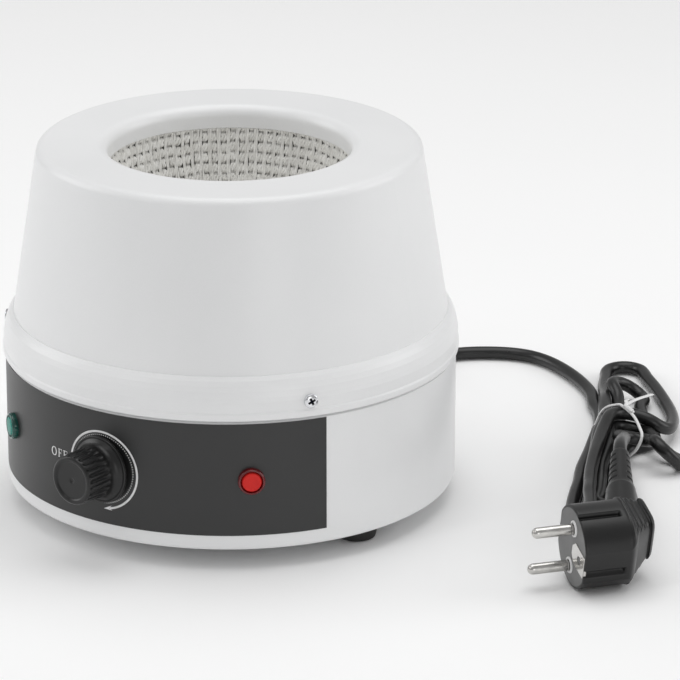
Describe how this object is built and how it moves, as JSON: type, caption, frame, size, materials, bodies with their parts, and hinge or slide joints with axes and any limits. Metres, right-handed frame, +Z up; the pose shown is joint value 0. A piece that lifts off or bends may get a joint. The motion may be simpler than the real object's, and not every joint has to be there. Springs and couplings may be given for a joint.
{
  "type": "heating mantle",
  "caption": "Round laboratory heating mantle with a woven bowl for a round-bottom flask, a dial on a curved panel, pilot lamps, rubber feet and a tied mains lead.",
  "frame": {"origin": "on the body's vertical axis, in the plane that the three feet stand on", "axes": "+Z up; -Y towards the dial on the front panel; +X to the right of the dial seen from the front"},
  "size_m": [0.3161, 0.3503, 0.162],
  "materials": {
    "white_enamel": "semi-gloss powder coat",
    "zinc_sheet": "zinc plated",
    "panel_print": "satin printed foil",
    "black_plastic": "satin",
    "brass": "machined",
    "steel": "plated",
    "aluminium": "satin",
    "black_moulding": "matt",
    "green_lens": "glossy translucent",
    "red_lens": "glossy translucent",
    "white_plastic": "satin",
    "glass_cloth": "woven glass fibre",
    "glass_wool": "soft fibre",
    "board": "lacquered",
    "yellow_plastic": "glossy",
    "wire_sheath": "satin",
    "chrome": "polished",
    "foot_rubber": "matt",
    "cord_pvc": "satin",
    "plug_pvc": "satin"
  },
  "bodies": {
    "mantle": {"base_housing": "white_enamel", "upper_shell": "white_enamel", "bottom_plate": "zinc_sheet", "panel_label": "panel_print", "pot_body": "black_moulding", "pot_washer": "steel", "pot_nut": "steel", "pot_terminals": "brass", "green_lamp_lens": "green_lens", "green_lamp_body": "white_plastic", "red_lamp_lens": "red_lens", "red_lamp_body": "white_plastic", "lamp_nuts": "steel", "heating_bowl": "glass_cloth", "heating_element": "steel", "backing_cloth": "glass_cloth", "insulation_pack": "glass_wool", "support_dish": "aluminium", "standoffs": "steel", "control_board": "board", "board_spacers": "white_plastic", "heat_sink": "aluminium", "triac": "black_moulding", "capacitor": "yellow_plastic", "terminal_block": "white_plastic", "earth_stud": "brass", "heater_leads": "glass_cloth", "mains_wires": "wire_sheath", "shell_screws": "chrome", "clip_nuts": "steel", "feet": "foot_rubber", "foot_screws": "steel", "foot_nuts": "steel", "cord_gland": "cord_pvc", "cord_clamp": "black_moulding", "power_cord": "cord_pvc", "cord_bundle": "cord_pvc", "cord_tail": "cord_pvc", "twist_tie": "white_plastic", "plug_body": "plug_pvc", "plug_pins": "chrome", "pin_collars": "white_plastic", "earth_contact": "chrome"},
    "dial": {"knob": "black_plastic", "knob_insert": "brass", "knob_set_screw": "steel", "pot_shaft": "aluminium"}
  },
  "joints": [
    {"name": "dial_turn", "type": "hinge", "parent": "mantle", "child": "dial", "pos_m": [0, -0.1003, 0.0412], "axis": [0.1132, 0.9936, 0], "range_deg": [0, 270]}
  ]
}
